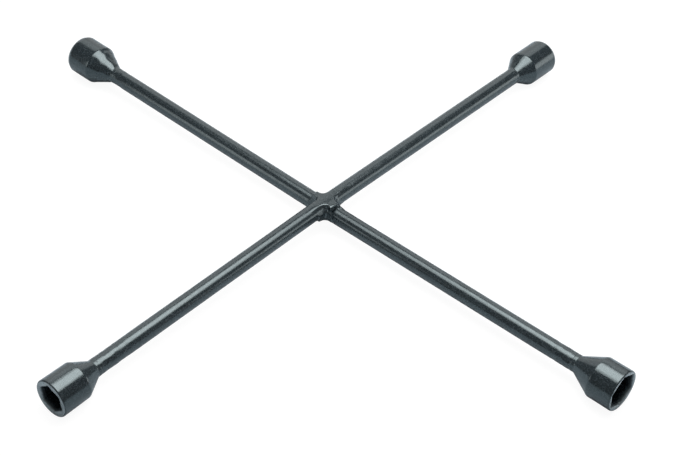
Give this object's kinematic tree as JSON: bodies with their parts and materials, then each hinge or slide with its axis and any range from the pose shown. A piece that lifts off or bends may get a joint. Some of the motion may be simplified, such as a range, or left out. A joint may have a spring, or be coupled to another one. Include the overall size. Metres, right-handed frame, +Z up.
{
  "type": "four-way lug wrench",
  "caption": "Cross-shaped wheel nut wrench: two round steel bars lapped and welded at the middle, with a forged hexagon socket on the end of each arm.",
  "frame": {"origin": "on the plane that the four sockets rest on, under the point where the two bars cross", "axes": "+Z up; the lower bar lies along X with its largest socket towards +X; the upper bar lies along Y with its smallest socket towards -Y"},
  "size_m": [0.5082, 0.5082, 0.0295],
  "materials": {
    "bar_paint": "semi-gloss blue-black enamel over drawn bar, with faint lengthwise drawing marks",
    "socket_paint": "semi-gloss blue-black enamel over a turned forging, smoother than the bars",
    "weld_paint": "satin blue-black enamel over rough weld metal"
  },
  "bodies": {
    "root": {"upper_bar": "bar_paint", "lower_bar": "bar_paint", "corner_weld_front": "weld_paint", "corner_weld_right": "weld_paint", "corner_weld_rear": "weld_paint", "corner_weld_left": "weld_paint", "socket_11_16_inch": "socket_paint", "socket_3_4_inch": "socket_paint", "socket_13_16_inch": "socket_paint", "socket_7_8_inch": "socket_paint", "neck_weld_11_16_inch": "weld_paint", "neck_weld_3_4_inch": "weld_paint", "neck_weld_13_16_inch": "weld_paint", "neck_weld_7_8_inch": "weld_paint"}
  },
  "joints": []
}
